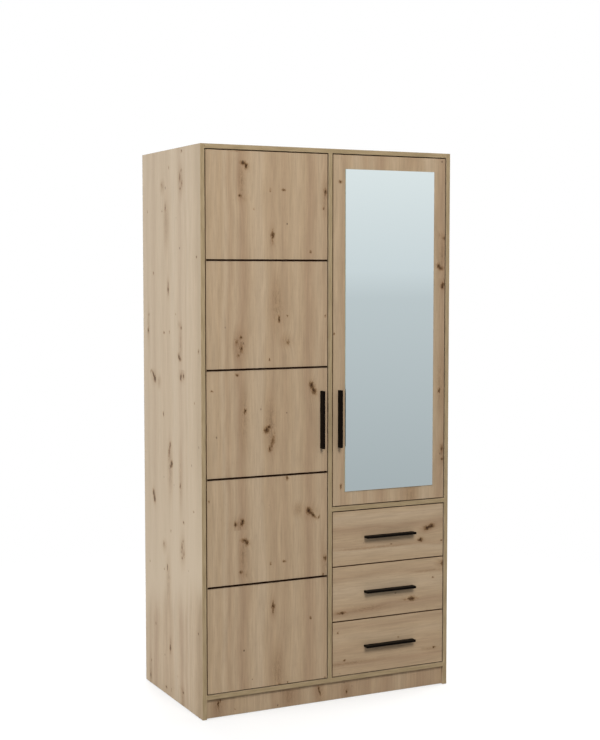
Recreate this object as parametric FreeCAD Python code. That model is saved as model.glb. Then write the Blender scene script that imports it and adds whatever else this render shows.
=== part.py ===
import FreeCAD, Part
import os

# A two-door wardrobe: a tall door on the left, a mirror door on the right and drawers below the mirror.
# Millimetres, +Z up, +X to the right as seen from the front, -Y towards the person who opens it.
# The origin is on the floor, under the middle of the whole object's box.

# Carcass boards
cabinet_width = 1000.0
cabinet_depth = 570.0
cabinet_height = 2000.0
board = 16.0
back_sheet = 3.2
back_sheet_margin = 1.0
edge_round = 0.8
bottom_height = 71.0
plinth_setback = 12.0
plinth_floor_gap = 2.0
glide_height = 2.0
glide_radius = 7.0
glide_inset = 40.0
glide_nail_radius = 1.0
glide_nail_length = 12.0

# Doors and drawer fronts
front_gap = 3.0
front_recess = 2.0
drawer_front_height = 200.0
strip_count = 4
strip_height = 6.0
strip_proud = 2.0
strip_groove = 1.0
strip_inset = 2.0
mirror_margin = 50.0
mirror_thickness = 4.0
mirror_chamfer = 1.0

# Handles, each an angle profile with closed ends
handle_length = 208.0
handle_height = 8.0
handle_depth = 25.0
handle_plate = 3.0
handle_lip = 4.0
handle_end = 16.0
handle_hole_spacing = 192.0
handle_round = 0.7
handle_from_door_edge = 25.0
handle_screw_radius = 2.0
handle_screw_grip = 8.0
handle_screw_clearance = 0.25
screw_head_radius = 4.0
screw_head_height = 2.4
screw_slot_width = 1.0
screw_slot_depth = 1.0

# Concealed door hinges
hinge_end_distance = 100.0
left_hinge_count = 4
right_hinge_count = 3
cup_radius = 17.5
cup_edge_distance = 4.0
cup_depth = 12.5
cup_wall = 0.8
cup_flange_height = 52.0
cup_flange_thickness = 1.0
hinge_pin_radius = 1.75
hinge_pin_clearance = 0.05
hinge_pin_edge_distance = 14.0
hinge_pin_inside_door = 8.5
hinge_eye_wall = 1.1
arm_thickness = 2.0
arm_height = 12.0
arm_reach = 19.0
arm_clear_of_door = 9.75
hinge_plate_thickness = 8.0
hinge_plate_length = 45.0
hinge_plate_height = 40.0

# Shelves and hanging rail
shelf_setback = 40.0
shelf_rear_gap = 6.0
shelf_side_gap = 0.5
hat_space_height = 328.0
shelf_pin_radius = 2.5
shelf_pin_depth = 9.0
shelf_pin_tab_length = 10.0
shelf_pin_tab_width = 8.0
shelf_pin_tab_height = 6.0
shelf_pin_inset = 60.0
rail_radius = 12.5
rail_wall = 1.0
rail_drop = 45.0
socket_radius = 22.0
socket_base = 3.0
socket_collar_wall = 3.0
socket_collar_length = 12.0
socket_clearance = 0.05

# Cam fittings that join the boards, and the nails of the back sheet
cam_radius = 7.5
cam_depth = 12.5
cam_distance = 34.0
cam_engagement = 4.0
cam_slot_width = 1.6
cam_slot_depth = 2.0
cam_inset = 60.0
bolt_radius = 3.5
bolt_thread_radius = 2.5
bolt_thread_length = 11.0
nail_radius = 0.8
nail_length = 20.0
nail_head_radius = 2.2
nail_head_height = 0.8
nail_corner_distance = 70.0
upright_nail_count = 8
crossing_nail_count = 3

# Drawer boxes and roller runners
drawer_side_height = 140.0
drawer_box_depth = 450.0
drawer_side_clearance = 12.5
runner_above_front = 20.0
runner_sheet = 1.2
runner_front = 28.0
runner_length = 450.0
channel_height = 18.5
channel_flange = 8.3
runner_play = 0.3
roller_radius = 8.9
roller_width = 8.2
roller_axle_radius = 2.0
roller_axle_clearance = 0.05
axle_head_radius = 3.2
axle_head_height = 0.7
front_roller_inset = 12.0
rear_roller_inset = 14.0
roof_behind_roller = 3.0
drawer_flange_reach = 9.3
drawer_foot_width = 13.5
drawer_foot_rise = 2.1

# Places worked out from the sizes above
Vector = FreeCAD.Vector
same_place = 0.01
handle_reach = handle_depth - front_recess
left = -cabinet_width / 2
right = cabinet_width / 2
front = (handle_reach - cabinet_depth) / 2
rear = front + cabinet_depth
board_rear = rear - back_sheet
inner_left = left + board
inner_right = right - board
divider_left = -board / 2
divider_right = board / 2
bottom_top = bottom_height + board
top_under = cabinet_height - board
door_face = front + front_recess
door_inside = door_face + board
shelf_front = front + shelf_setback
shelf_rear = board_rear - shelf_rear_gap

drawer_names = ["lower", "middle", "upper"]
drawer_pitch = drawer_front_height + front_gap
bay_shelf_under = bottom_top + front_gap + drawer_pitch * len(drawer_names)
bay_shelf_top = bay_shelf_under + board

left_door_x = (inner_left + front_gap, divider_left - front_gap)
right_door_x = (divider_right + front_gap, inner_right - front_gap)
left_door_z = (bottom_top + front_gap, top_under - front_gap)
right_door_z = (bay_shelf_top + front_gap, top_under - front_gap)

pieces = {}


def block(x, y, z):
    """A box between the lower and upper value given for each axis."""
    return Part.makeBox(x[1] - x[0], y[1] - y[0], z[1] - z[0], Vector(x[0], y[0], z[0]))


def rod(start, end, radius):
    """A round bar between two points."""
    along = end - start
    return Part.makeCylinder(radius, along.Length, start, along)


def about(middle, size):
    """The lower and upper value of a size centred on a place."""
    return (middle - size / 2, middle + size / 2)


def spread(first, last, count):
    """Evenly spaced places from the first to the last."""
    step = (last - first) / (count - 1)
    return [first + step * number for number in range(count)]


def front_edges(shape):
    """The edges around a board's front face."""
    y = shape.BoundBox.YMin
    return [e for e in shape.Edges if all(abs(v.Y - y) < same_place for v in e.Vertexes)]


def panel(x, y, z):
    """A board whose front edge is banded and slightly rounded."""
    plain = block(x, y, z)
    return plain.makeFillet(edge_round, front_edges(plain))


def mirrored(shape):
    """The same piece for the other hand, mirrored left to right."""
    return shape.mirror(Vector(0, 0, 0), Vector(1, 0, 0))


def moved(shape, x, y, z):
    """A copy of a piece set at a place."""
    copy = shape.copy()
    copy.translate(Vector(x, y, z))
    return copy


def seat(shape, inserts):
    """Cut the pockets for every insert that reaches into a board."""
    near = [i for i in inserts if i.BoundBox.intersect(shape.BoundBox)]
    return shape.cut(near) if near else shape


# Cam fittings: a slotted cam in a face of one board, and a bolt from the board that it meets
cam_locks = []
cam_pockets = []
cam_bolts = []
cam_rows = [front + cam_inset, board_rear - cam_inset]


def cam_joint(meeting, inward, pocket, face):
    """A bolt at the meeting point of two boards, and its cam pressed in from a face of the second."""
    tip = meeting + inward * (cam_distance - cam_radius + cam_engagement)
    thread = rod(meeting - inward * bolt_thread_length, meeting, bolt_thread_radius)
    bolt = thread.fuse(rod(meeting, tip, bolt_radius)).removeSplitter()
    mouth = meeting + inward * cam_distance + pocket * face
    cam = rod(mouth, mouth - pocket * cam_depth, cam_radius)
    slot = Part.makeBox(2 * cam_radius, cam_slot_width, 2 * cam_slot_depth)
    slot.translate(Vector(-cam_radius, -cam_slot_width / 2, -cam_slot_depth))
    slot.Placement = FreeCAD.Placement(mouth, FreeCAD.Rotation(Vector(0, 0, 1), pocket)) * slot.Placement
    cam_bolts.append(bolt)
    cam_pockets.append(cam)
    cam_locks.append(cam.cut([slot, bolt]))


across = Vector(1, 0, 0)
up = Vector(0, 0, 1)
level_boards = [
    (inner_left, inner_right, top_under + board / 2),
    (inner_left, inner_right, bottom_height + board / 2),
    (divider_right, inner_right, bay_shelf_under + board / 2),
]
for y in cam_rows:
    for start_x, end_x, z in level_boards:
        cam_joint(Vector(start_x, y, z), across, -up, board / 2)
        cam_joint(Vector(end_x, y, z), -across, -up, board / 2)
    cam_joint(Vector(0, y, top_under), -up, -across, board / 2)
    cam_joint(Vector(0, y, bottom_top), up, -across, board / 2)

# Shelves, carried on pegged shelf pins
left_bay = (inner_left, divider_left)
right_bay = (divider_right, inner_right)
shelf_depth = (shelf_front, shelf_rear)
hat_shelf_under = top_under - hat_space_height - board
right_shelf_names = ["lower_shelf", "upper_shelf"]
right_bay_space = top_under - bay_shelf_top - len(right_shelf_names) * board
shelf_space = right_bay_space / (len(right_shelf_names) + 1)
shelf_pins = []


def shelf(bay, under):
    """A loose shelf with two pins at each end."""
    for y in (shelf_front + shelf_pin_inset, shelf_rear - shelf_pin_inset):
        for wall, inward in ((bay[0], 1), (bay[1], -1)):
            tab_x = sorted((wall, wall + inward * shelf_pin_tab_length))
            tab = block(tab_x, about(y, shelf_pin_tab_width), (under - shelf_pin_tab_height, under))
            middle = Vector(wall, y, under - shelf_pin_tab_height / 2)
            peg = rod(middle - across * inward * shelf_pin_depth, middle, shelf_pin_radius)
            shelf_pins.append(tab.fuse(peg))
    return panel((bay[0] + shelf_side_gap, bay[1] - shelf_side_gap), shelf_depth, (under, under + board))


pieces["hat_shelf"] = shelf(left_bay, hat_shelf_under)
for number, name in enumerate(right_shelf_names):
    under = bay_shelf_top + shelf_space + number * (board + shelf_space)
    pieces[name] = shelf(right_bay, under)

# Hanging rail and its two sockets
rail_start = Vector(inner_left, (shelf_front + shelf_rear) / 2, hat_shelf_under - rail_drop)
rail_end = Vector(divider_left, rail_start.y, rail_start.z)
rail_from = rail_start + across * socket_base
rail_to = rail_end - across * socket_base
rail_tube = rod(rail_from, rail_to, rail_radius)
pieces["hanging_rail"] = rail_tube.cut(rod(rail_from, rail_to, rail_radius - rail_wall))
sockets = []
for wall, inward in ((rail_start, across), (rail_end, -across)):
    base = wall + inward * socket_base
    mouth = base + inward * socket_collar_length
    bore_radius = rail_radius + socket_clearance
    collar = rod(base, mouth, bore_radius + socket_collar_wall).cut(rod(base, mouth, bore_radius))
    sockets.append(rod(wall, base, socket_radius).fuse(collar).removeSplitter())

# Back sheet and its nails
back_x = (left + back_sheet_margin, right - back_sheet_margin)
back_z = (bottom_height + back_sheet_margin, cabinet_height - back_sheet_margin)
nails = []


def nail(x, z):
    """A flat-headed nail driven flush through the back sheet."""
    head = rod(Vector(x, rear, z), Vector(x, rear - nail_head_height, z), nail_head_radius)
    shank = rod(Vector(x, rear - nail_head_height, z), Vector(x, rear - nail_length, z), nail_radius)
    nails.append(head.fuse(shank))


for x in (left + board / 2, 0, right - board / 2):
    for z in spread(bottom_top + nail_corner_distance, top_under - nail_corner_distance, upright_nail_count):
        nail(x, z)
for bay in (left_bay, right_bay):
    for x in spread(bay[0] + nail_corner_distance, bay[1] - nail_corner_distance, crossing_nail_count):
        nail(x, bottom_height + board / 2)
        nail(x, top_under + board / 2)
for x in spread(divider_right + nail_corner_distance, inner_right - nail_corner_distance, crossing_nail_count):
    nail(x, bay_shelf_under + board / 2)

# Floor glides, each a disc with its own nail
glides = []
for x in (left + board / 2, right - board / 2):
    for y in (front + glide_inset, board_rear - glide_inset):
        disc = rod(Vector(x, y, 0), Vector(x, y, glide_height), glide_radius)
        tip = Vector(x, y, glide_height + glide_nail_length)
        glides.append(disc.fuse(rod(Vector(x, y, glide_height), tip, glide_nail_radius)))

# Carcass boards, with the pockets of everything that is pressed into them
inserts = cam_pockets + cam_bolts + shelf_pins + nails + glides
depth = (front, board_rear)
side_z = (glide_height, cabinet_height)
level_x = (inner_left, inner_right)
carcass_boards = {
    "left_side_panel": panel((left, inner_left), depth, side_z),
    "right_side_panel": panel((inner_right, right), depth, side_z),
    "centre_divider": panel((divider_left, divider_right), depth, (bottom_top, top_under)),
    "top_panel": panel(level_x, depth, (top_under, cabinet_height)),
    "bottom_panel": panel(level_x, depth, (bottom_height, bottom_top)),
    "drawer_bay_shelf": panel(right_bay, depth, (bay_shelf_under, bay_shelf_top)),
    "back_panel": block(back_x, (board_rear, rear), back_z),
}
for name, carcass_board in carcass_boards.items():
    pieces[name] = seat(carcass_board, inserts)
plinth_y = (front + plinth_setback, front + plinth_setback + board)
pieces["plinth"] = panel(level_x, plinth_y, (plinth_floor_gap, bottom_height))
pieces["cam_locks"] = Part.makeCompound(cam_locks)
pieces["cam_bolts"] = Part.makeCompound(cam_bolts)
pieces["shelf_pins"] = Part.makeCompound(shelf_pins)
pieces["back_panel_nails"] = Part.makeCompound(nails)
pieces["floor_glides"] = Part.makeCompound(glides)
pieces["hanging_rail_sockets"] = Part.makeCompound(sockets)


def handle():
    """A level handle with its seat at y 0, reaching forwards, open below between its closed ends."""
    outer = block(about(0, handle_length), (-handle_depth, 0), about(0, handle_height))
    seat_free = [e for e in outer.Edges if any(v.Y < -same_place for v in e.Vertexes)]
    outer = outer.makeFillet(handle_round, seat_free)
    pocket_x = about(0, handle_length - 2 * handle_end)
    pocket_z = (-handle_height / 2, handle_height / 2 - handle_plate)
    pocket = block(pocket_x, (handle_lip - handle_depth, 0), pocket_z)
    return outer.cut([pocket] + handle_shanks())


def handle_shanks(clearance=0.0):
    """The two screw shanks, from the back of the front board into the handle's ends."""
    shanks = []
    for x in about(0, handle_hole_spacing):
        start = Vector(x, board, 0)
        shanks.append(rod(start, Vector(x, -handle_screw_grip, 0), handle_screw_radius + clearance))
    return shanks


def handle_screws():
    """Two slotted pan-head screws that hold a handle from behind."""
    screws = []
    for shank in handle_shanks():
        x = shank.BoundBox.Center.x
        top = board + screw_head_height
        head = rod(Vector(x, board, 0), Vector(x, top, 0), screw_head_radius)
        slot_y = (top - screw_slot_depth, top)
        slot = block(about(x, 2 * screw_head_radius), slot_y, about(0, screw_slot_width))
        screws.append(shank.fuse(head).cut(slot))
    return Part.makeCompound(screws)


def place_handle(shape, x, z, upright):
    """A handle, or what goes with it, set on a front board, level or upright with its opening to the right."""
    if upright:
        shape = shape.copy()
        shape.rotate(Vector(0, 0, 0), Vector(0, 1, 0), -90)
    return moved(shape, x, door_face, z)


def front_board(name, x, z, handle_x, upright):
    """A door or drawer front with its handle, its screws and their holes."""
    middle_z = sum(left_door_z) / 2 if upright else sum(z) / 2
    holes = Part.makeCompound(handle_shanks(handle_screw_clearance))
    face = panel(x, (door_face, door_inside), z)
    pieces[name + "_handle"] = place_handle(handle(), handle_x, middle_z, upright)
    pieces[name + "_handle_screws"] = place_handle(handle_screws(), handle_x, middle_z, upright)
    return face.cut(place_handle(holes, handle_x, middle_z, upright).Solids)


# One hinge: x from the side panel's inner face, y from the carcass front edges, z from its mid-height
hinge_pin_x = front_gap + hinge_pin_edge_distance
hinge_pin_y = front_recess + board - hinge_pin_inside_door
cup_x = front_gap + cup_edge_distance + cup_radius
cup_mouth = front_recess + board
cup_floor = Vector(cup_x, cup_mouth - cup_depth, 0)
hinge_pin_axis = Vector(hinge_pin_x, hinge_pin_y, 0)
cup_body = rod(cup_floor, Vector(cup_x, cup_mouth, 0), cup_radius)
pin_offset = cup_x - hinge_pin_x + hinge_pin_radius
pin_half = up * (cup_radius ** 2 - pin_offset ** 2) ** 0.5
hinge_pin = rod(hinge_pin_axis - pin_half, hinge_pin_axis + pin_half, hinge_pin_radius)


def hinge_cup():
    """The cup let into the door, with its screw flange and the holes for its pin."""
    flange_y = (cup_mouth, cup_mouth + cup_flange_thickness)
    flange = block(about(cup_x, 2 * (cup_radius - cup_wall)), flange_y, about(0, cup_flange_height))
    hollow_start = cup_floor + Vector(0, cup_wall, 0)
    hollow_end = Vector(cup_x, cup_mouth + cup_flange_thickness, 0)
    hollow = rod(hollow_start, hollow_end, cup_radius - cup_wall)
    return cup_body.fuse(flange).cut([hollow, hinge_pin])


def hinge_arm():
    """The cranked arm, from the eye on the pin, out of the cup and round to its plate on the side panel."""
    z = about(0, arm_height)
    eye_radius = hinge_pin_radius + hinge_pin_clearance + hinge_eye_wall
    half_height = up * (arm_height / 2)
    eye = rod(hinge_pin_axis - half_height, hinge_pin_axis + half_height, eye_radius)
    bore = rod(hinge_pin_axis - half_height, hinge_pin_axis + half_height, hinge_pin_radius + hinge_pin_clearance)
    reach_x = hinge_pin_x + arm_reach
    return_y = cup_mouth + arm_clear_of_door
    tongue = block((hinge_pin_x, reach_x), about(hinge_pin_y, arm_thickness), z)
    leg_y = (hinge_pin_y - arm_thickness / 2, return_y + arm_thickness)
    leg = block((reach_x - arm_thickness, reach_x), leg_y, z)
    back = block((0, reach_x), (return_y, return_y + arm_thickness), z)
    plate_y = (return_y, return_y + hinge_plate_length)
    plate = block((0, hinge_plate_thickness), plate_y, about(0, hinge_plate_height))
    return eye.fuse([tongue, leg, back, plate]).cut(bore).removeSplitter()


def hinge_row(door, z_range, count, wall, left_handed):
    """The hinges of one door, and the pockets that the door needs for their cups."""
    kinds = {"cups": hinge_cup(), "pins": hinge_pin, "arms": hinge_arm(), "pockets": cup_body}
    heights = spread(z_range[0] + hinge_end_distance, z_range[1] - hinge_end_distance, count)
    row = {}
    for kind, shape in kinds.items():
        handed = shape if left_handed else mirrored(shape)
        row[kind] = [moved(handed, wall, front, z) for z in heights]
    for kind in ("cups", "pins", "arms"):
        pieces[door + "_hinge_" + kind] = Part.makeCompound(row[kind])
    return row["pockets"]


# Tall left door with its raised strips
left_cups = hinge_row("left_door", left_door_z, left_hinge_count, inner_left, True)
left_handle_x = left_door_x[1] - handle_from_door_edge
field = (left_door_z[1] - left_door_z[0] - strip_count * strip_height) / (strip_count + 1)
strips = []
for number in range(strip_count):
    strip_low = left_door_z[0] + field + number * (field + strip_height)
    strip_x = (left_door_x[0] + strip_inset, left_door_x[1] - strip_inset)
    strip_y = (door_face - strip_proud, door_face + strip_groove)
    strips.append(block(strip_x, strip_y, (strip_low, strip_low + strip_height)))
left_door = front_board("left_door", left_door_x, left_door_z, left_handle_x, True)
pieces["left_door_panel"] = left_door.cut(left_cups + strips)
pieces["left_door_strips"] = Part.makeCompound(strips)

# Right door with the mirror bonded to its face
right_cups = hinge_row("right_door", right_door_z, right_hinge_count, inner_right, False)
right_handle_x = right_door_x[0] + handle_from_door_edge
right_door = front_board("right_door", right_door_x, right_door_z, right_handle_x, True)
pieces["right_door_panel"] = right_door.cut(right_cups)
mirror_x = (right_door_x[0] + mirror_margin, right_door_x[1] - mirror_margin)
mirror_z = (right_door_z[0] + mirror_margin, right_door_z[1] - mirror_margin)
glass = block(mirror_x, (door_face - mirror_thickness, door_face), mirror_z)
pieces["mirror"] = glass.makeChamfer(mirror_chamfer, front_edges(glass))

# One pair of runners: x from the bay's wall, y from the carcass front edges, z from the channel's floor
runner_end = runner_front + runner_length
roller_start = runner_sheet + 2 * runner_play
front_roller_y = runner_front + front_roller_inset
drawer_web = (drawer_side_clearance - runner_sheet, drawer_side_clearance)
rear_roller_z = roller_radius + runner_play
drawer_flange_z = channel_height + runner_sheet + 2 * runner_play
front_roller_z = drawer_flange_z - runner_play - roller_radius
box_front = front_recess + board
box_rear = box_front + drawer_box_depth
rear_roller_y = box_rear - rear_roller_inset


def roller(start_x, y, z):
    """A nylon roller with its bore."""
    start = Vector(start_x, y, z)
    end = start + across * roller_width
    return rod(start, end, roller_radius).cut(rod(start, end, roller_axle_radius + roller_axle_clearance))


def cabinet_runner():
    """A channel on the bay's wall, open at the front where its own roller stands on a riveted axle."""
    length_y = (runner_front, runner_end)
    web = block((0, runner_sheet), length_y, (-runner_sheet, channel_height + runner_sheet))
    flange_x = (0, runner_sheet + channel_flange)
    floor = block(flange_x, length_y, (-runner_sheet, 0))
    roof_y = (front_roller_y + roller_radius + roof_behind_roller, runner_end)
    roof = block(flange_x, roof_y, (channel_height, channel_height + runner_sheet))
    axle_start = Vector(0, front_roller_y, front_roller_z)
    axle_end = axle_start + across * (roller_start + roller_width + runner_play / 2)
    axle = rod(axle_start, axle_end, roller_axle_radius)
    axle_head = rod(axle_end, axle_end + across * axle_head_height, axle_head_radius)
    return web.fuse([floor, roof, axle, axle_head]).removeSplitter()


def drawer_runner():
    """An angle under the drawer's edge, with a flange that rides on the front roller and a rear axle."""
    length_y = (box_front, box_rear)
    web = block(drawer_web, length_y, (drawer_foot_rise, drawer_flange_z + runner_sheet))
    flange_x = (drawer_web[1] - drawer_flange_reach - runner_sheet, drawer_web[1])
    flange = block(flange_x, length_y, (drawer_flange_z, drawer_flange_z + runner_sheet))
    foot_x = (drawer_web[0], drawer_web[1] + drawer_foot_width)
    foot = block(foot_x, length_y, (drawer_foot_rise, drawer_foot_rise + runner_sheet))
    axle_start = Vector(drawer_web[0], rear_roller_y, rear_roller_z)
    axle_end = axle_start - across * (roller_width + runner_play)
    axle = rod(axle_start, axle_end, roller_axle_radius)
    axle_head = rod(axle_end, axle_end - across * axle_head_height, axle_head_radius)
    return web.fuse([flange, foot, axle, axle_head]).removeSplitter()


def runner_pair(shape, z):
    """A runner piece on the divider and its mirrored twin on the right side panel."""
    return [moved(shape, divider_right, front, z), moved(mirrored(shape), inner_right, front, z)]


# Drawers, from the lowest up
front_roller = roller(roller_start, front_roller_y, front_roller_z)
rear_roller = roller(drawer_web[0] - roller_width - runner_play / 2, rear_roller_y, rear_roller_z)
box_x = (divider_right + drawer_side_clearance, inner_right - drawer_side_clearance)
box_y = (front + box_front, front + box_rear)
cabinet_runners = []
for number, level in enumerate(drawer_names):
    name = level + "_drawer"
    front_low = bottom_top + front_gap + number * drawer_pitch
    front_z = (front_low, front_low + drawer_front_height)
    runner_z = front_low + runner_above_front
    sheet_low = runner_z + drawer_foot_rise + runner_sheet
    wall_low = sheet_low + back_sheet
    wall_z = (wall_low, wall_low + drawer_side_height)
    left_wall = block((box_x[0], box_x[0] + board), box_y, wall_z)
    right_wall = block((box_x[1] - board, box_x[1]), box_y, wall_z)
    back_wall_x = (box_x[0] + board, box_x[1] - board)
    pieces[name + "_front"] = front_board(name, right_door_x, front_z, sum(right_door_x) / 2, False)
    pieces[name + "_sides"] = Part.makeCompound([left_wall, right_wall])
    pieces[name + "_back"] = block(back_wall_x, (box_y[1] - board, box_y[1]), wall_z)
    pieces[name + "_bottom"] = block(box_x, box_y, (sheet_low, wall_low))
    pieces[name + "_runners"] = Part.makeCompound(runner_pair(drawer_runner(), runner_z))
    pieces[name + "_rollers"] = Part.makeCompound(runner_pair(rear_roller, runner_z))
    pieces[level + "_cabinet_rollers"] = Part.makeCompound(runner_pair(front_roller, runner_z))
    cabinet_runners += runner_pair(cabinet_runner(), runner_z)
pieces["cabinet_runners"] = Part.makeCompound(cabinet_runners)

# One file for each piece, or for each group of like fasteners
os.makedirs("parts", exist_ok=True)
for name, shape in pieces.items():
    whole = shape.Solids[0] if len(shape.Solids) == 1 else Part.makeCompound(shape.Solids)
    whole.exportStep("parts/" + name + ".step")
    print(name, len(whole.Solids), "solids", round(whole.Volume / 1000, 2), "cm3")
print(len(pieces), "pieces")
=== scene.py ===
import bpy
import math
import numpy as np
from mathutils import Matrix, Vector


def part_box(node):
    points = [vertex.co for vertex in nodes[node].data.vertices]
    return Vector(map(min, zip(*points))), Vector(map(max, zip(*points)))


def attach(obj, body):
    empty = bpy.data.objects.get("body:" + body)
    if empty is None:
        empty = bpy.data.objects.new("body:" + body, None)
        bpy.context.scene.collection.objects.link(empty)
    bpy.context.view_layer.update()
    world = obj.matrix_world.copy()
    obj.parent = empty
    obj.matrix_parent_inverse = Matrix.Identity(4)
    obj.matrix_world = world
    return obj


# A wardrobe with a tall door, a mirror door and three drawers, dressed in printed rustic oak.
# The CAD pieces keep their shapes and get their finishes here. Small screws are added on top of them.
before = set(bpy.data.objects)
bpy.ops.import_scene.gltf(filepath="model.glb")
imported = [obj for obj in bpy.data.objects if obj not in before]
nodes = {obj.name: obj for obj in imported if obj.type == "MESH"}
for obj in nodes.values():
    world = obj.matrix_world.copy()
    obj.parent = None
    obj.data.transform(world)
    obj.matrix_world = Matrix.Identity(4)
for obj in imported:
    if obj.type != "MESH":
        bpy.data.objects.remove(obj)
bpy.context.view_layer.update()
scene = bpy.context.scene
metre = 1000.0
x_axis, y_axis, z_axis = 0, 1, 2

# Camera at the photograph's viewing angle: place in metres, turns in degrees, lens and sensor in mm
camera_place = (-2.3509, -4.7597, 1.5667)
camera_turn = -26.424
camera_dip = 3.998
camera_lens = 68.85
camera_sensor = 36.0

# Studio lamps: place and width in metres, power in watts and colour, all aimed at the wardrobe's middle
aim = (0.0, 0.0, 1.0)
lamps = {
    "front_lamp": ((-0.6, -5.6, 5.0), 2.4, 328.0, "#FFFAF3"),
    "left_lamp": ((-4.6, -0.5, 1.8), 2.4, 190.0, "#F0F5FC"),
    "right_lamp": ((4.4, 0.4, 2.4), 2.4, 170.0, "#FFFFFF"),
    "rear_lamp": ((0.6, 4.4, 3.0), 2.4, 200.0, "#FFFFFF"),
}

# Studio sky and floor: the sky's tones change around the horizon, and the floor fades out towards its rim
ambient_strength = 0.22
sky_half_height = 0.16
sky_stops = [(0.0, "#B4BBBE"), (0.44, "#CDD4D7"), (0.5, "#DCE3E6"), (0.75, "#F0F5F6"), (1.0, "#FCFEFE")]
white = (1.0, 1.0, 1.0, 1.0)
floor_radius = 2.8
floor_corners = 96
floor_fade_start = 1.0
floor_glow_share = 0.6
floor_bounce_tone = "#A5A39F"
floor_seen_tone = "#F8F8F7"


def colour(code):
    """An sRGB hex value as linear red, green, blue and alpha."""
    values = [int(code[start:start + 2], 16) / 255 for start in (1, 3, 5)]
    linear = [v / 12.92 if v <= 0.04045 else ((v + 0.055) / 1.055) ** 2.4 for v in values]
    return (*linear, 1.0)


def add(tree, kind, inputs=None, output=0, stops=None, **settings):
    """Add one shader node with its settings, its inputs as values or links, and its colour ramp's stops."""
    node = tree.nodes.new(kind if kind.startswith("Node") else "ShaderNode" + kind)
    for name, value in settings.items():
        setattr(node, name, value)
    for number, (position, code) in enumerate(stops or []):
        ramp = node.color_ramp.elements
        stop = ramp[number] if number < len(ramp) else ramp.new(position)
        stop.position = position
        stop.color = colour(code)
    live = [socket for socket in node.inputs if socket.enabled]
    for key, value in (inputs or {}).items():
        socket = live[key] if isinstance(key, int) else next(s for s in live if s.name == key)
        if isinstance(value, bpy.types.NodeSocket):
            tree.links.new(value, socket)
        else:
            socket.default_value = value
    shown = [socket for socket in node.outputs if socket.enabled] or [None]
    return shown[output] if isinstance(output, int) else node.outputs[output]


def new_material(name):
    """An empty material and its node tree."""
    made = bpy.data.materials.new(name)
    made.use_nodes = True
    made.node_tree.nodes.clear()
    return made, made.node_tree


def dress(tree, inputs):
    """End a material with its principled shader."""
    shader = add(tree, "BsdfPrincipled", inputs)
    add(tree, "OutputMaterial", {"Surface": shader})


def flecks(tree, place, size, detail=2.0, stir=0.0):
    """Noise with spots of the given size along each axis, in the units of the place, stirred by a share."""
    scaled = add(tree, "VectorMath", {0: place, 1: [1 / s for s in size]}, operation="MULTIPLY")
    return add(tree, "TexNoise", {"Vector": scaled, "Scale": 1.0, "Detail": detail, "Distortion": stir})


# Most of such a noise lies between these two, given as the inputs of a range that starts from them
usual_noise = {1: 0.3, 2: 0.7}

# The printed oak paper. Its sheet is 660 mm wide and repeats every 1315 mm along the grain.
# Each print gives its lowest and highest place in mm, across and along the grain.
# A streak is a place across the grain and a tone.
# A knot or a stain is its place, half width, half length, tilt in degrees and how faint it is, from 0 to 1.
tan = "#AF997E"
pale = "#B29D83"
palest = "#B5A188"
rose = "#A99278"
brown = "#A38B72"
umber = "#9C866B"
sheet_low = (-540.0, 660.0)
sheet_high = (120.0, 1975.0)
sheet_streaks = [
    (-540, umber), (-505, umber), (-470, tan), (-452, pale), (-430, tan), (-414, palest), (-395, rose),
    (-375, pale), (-345, brown), (-328, rose), (-312, pale), (-285, palest), (-268, palest), (-250, tan),
    (-222, rose), (-205, tan), (-182, rose), (-160, tan), (-140, pale), (-112, tan), (-90, brown),
    (-70, rose), (-48, pale), (-20, rose), (0, pale), (25, palest), (48, tan), (70, rose), (95, pale),
    (120, tan),
]
sheet_knots = [
    (-338, 1937, 13, 6.5, -10, 0.0), (-328, 1929, 6, 10, 0, 0.0), (-352, 1827, 6.5, 6, 0, 0.25),
    (-184, 1850, 8, 6, 0, 0.25), (-236, 1846, 3.5, 8, 0, 0.4), (-299, 1781, 4, 5, 0, 0.35),
    (-227, 1693, 6.5, 9, 0, 0.05), (-227, 1690, 4, 28, 0, 0.4), (-78, 1634, 5.5, 7, 0, 0.45),
    (-20, 1847, 6, 11, 0, 0.2), (-27, 1788, 4.5, 6, 0, 0.35), (-203, 1400, 5, 14, 0, 0.25),
    (-170, 1410, 4, 4, 0, 0.3), (-20, 1407, 4, 5, 0, 0.3), (-168, 1315, 9, 14, 0, 0.65),
    (-350, 1337, 7, 9, 0, 0.45), (-367, 1320, 10, 15, 0, 0.65), (-347, 1298, 11, 20, 0, 0.6),
    (-360, 1275, 7, 9, 0, 0.6), (-240, 1257, 3.5, 6, 0, 0.35), (-365, 1206, 6, 6, 0, 0.1),
    (-460, 1152, 7, 4, 0, 0.4), (-75, 1160, 11, 15, 15, 0.15), (-66, 1141, 10, 16, 20, 0.15),
    (-334, 1078, 5.5, 9, 0, 0.1), (-253, 1008, 10, 11, 0, 0.0), (-243, 1018, 8, 6, 0, 0.05),
    (-228, 968, 9, 28, -12, 0.4), (-240, 940, 8, 14, 0, 0.35), (-172, 833, 5.5, 8, 0, 0.1),
    (-86, 710, 10.5, 10.5, 0, 0.0), (-72, 697, 6.5, 26, 45, 0.15), (-45, 683, 4.5, 10, -20, 0.4),
    (-372, 683, 7, 9.5, 0, 0.2), (-346, 688, 7.5, 13, -10, 0.15), (-473, 770, 3.5, 5, 0, 0.35),
    (-512, 1903, 5.5, 8, 0, 0.25), (-499, 1578, 5, 5, 0, 0.25), (85, 1631, 8, 7, 0, 0.25),
    (110, 858, 5, 5, 0, 0.25), (80, 1412, 5, 11, 0, 0.3),
]
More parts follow.
